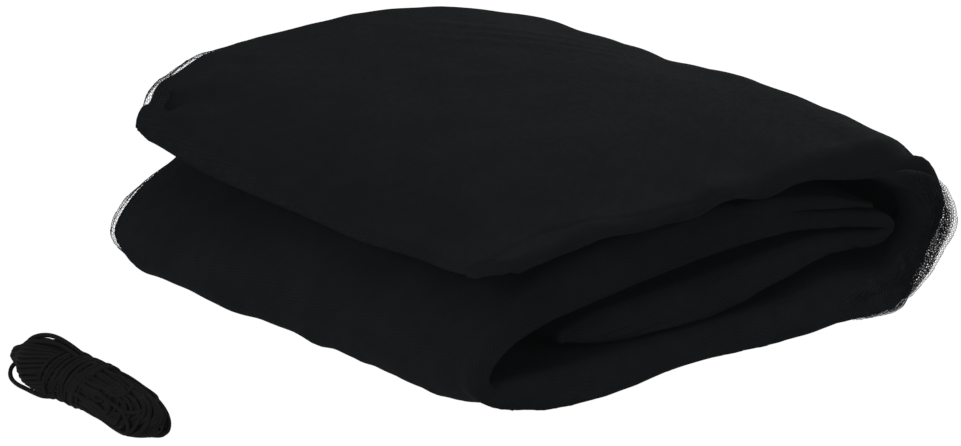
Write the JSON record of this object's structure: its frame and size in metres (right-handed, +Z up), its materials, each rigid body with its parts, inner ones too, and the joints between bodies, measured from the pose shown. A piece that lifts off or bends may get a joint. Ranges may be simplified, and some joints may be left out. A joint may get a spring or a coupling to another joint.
{
  "type": "folded umbrella mosquito net with tie cord",
  "caption": "Black umbrella mosquito net folded into a thick layered bundle with an overlapping top flap, beside its tie cord wound into a bound hank.",
  "frame": {"origin": "middle of the net's flat underside, on the surface that it rests on", "axes": "+Z up, +X across the folded strip from the fold by the cord to the far fold, +Y along the folds away from the layered front end"},
  "size_m": [0.5937, 0.3925, 0.1407],
  "materials": {
    "netting": "matte knitted mesh in stacked plies",
    "cord": "braided cord with a slight sheen"
  },
  "bodies": {
    "root": {"folded_net": "netting", "cord_hank": "cord"}
  },
  "joints": []
}
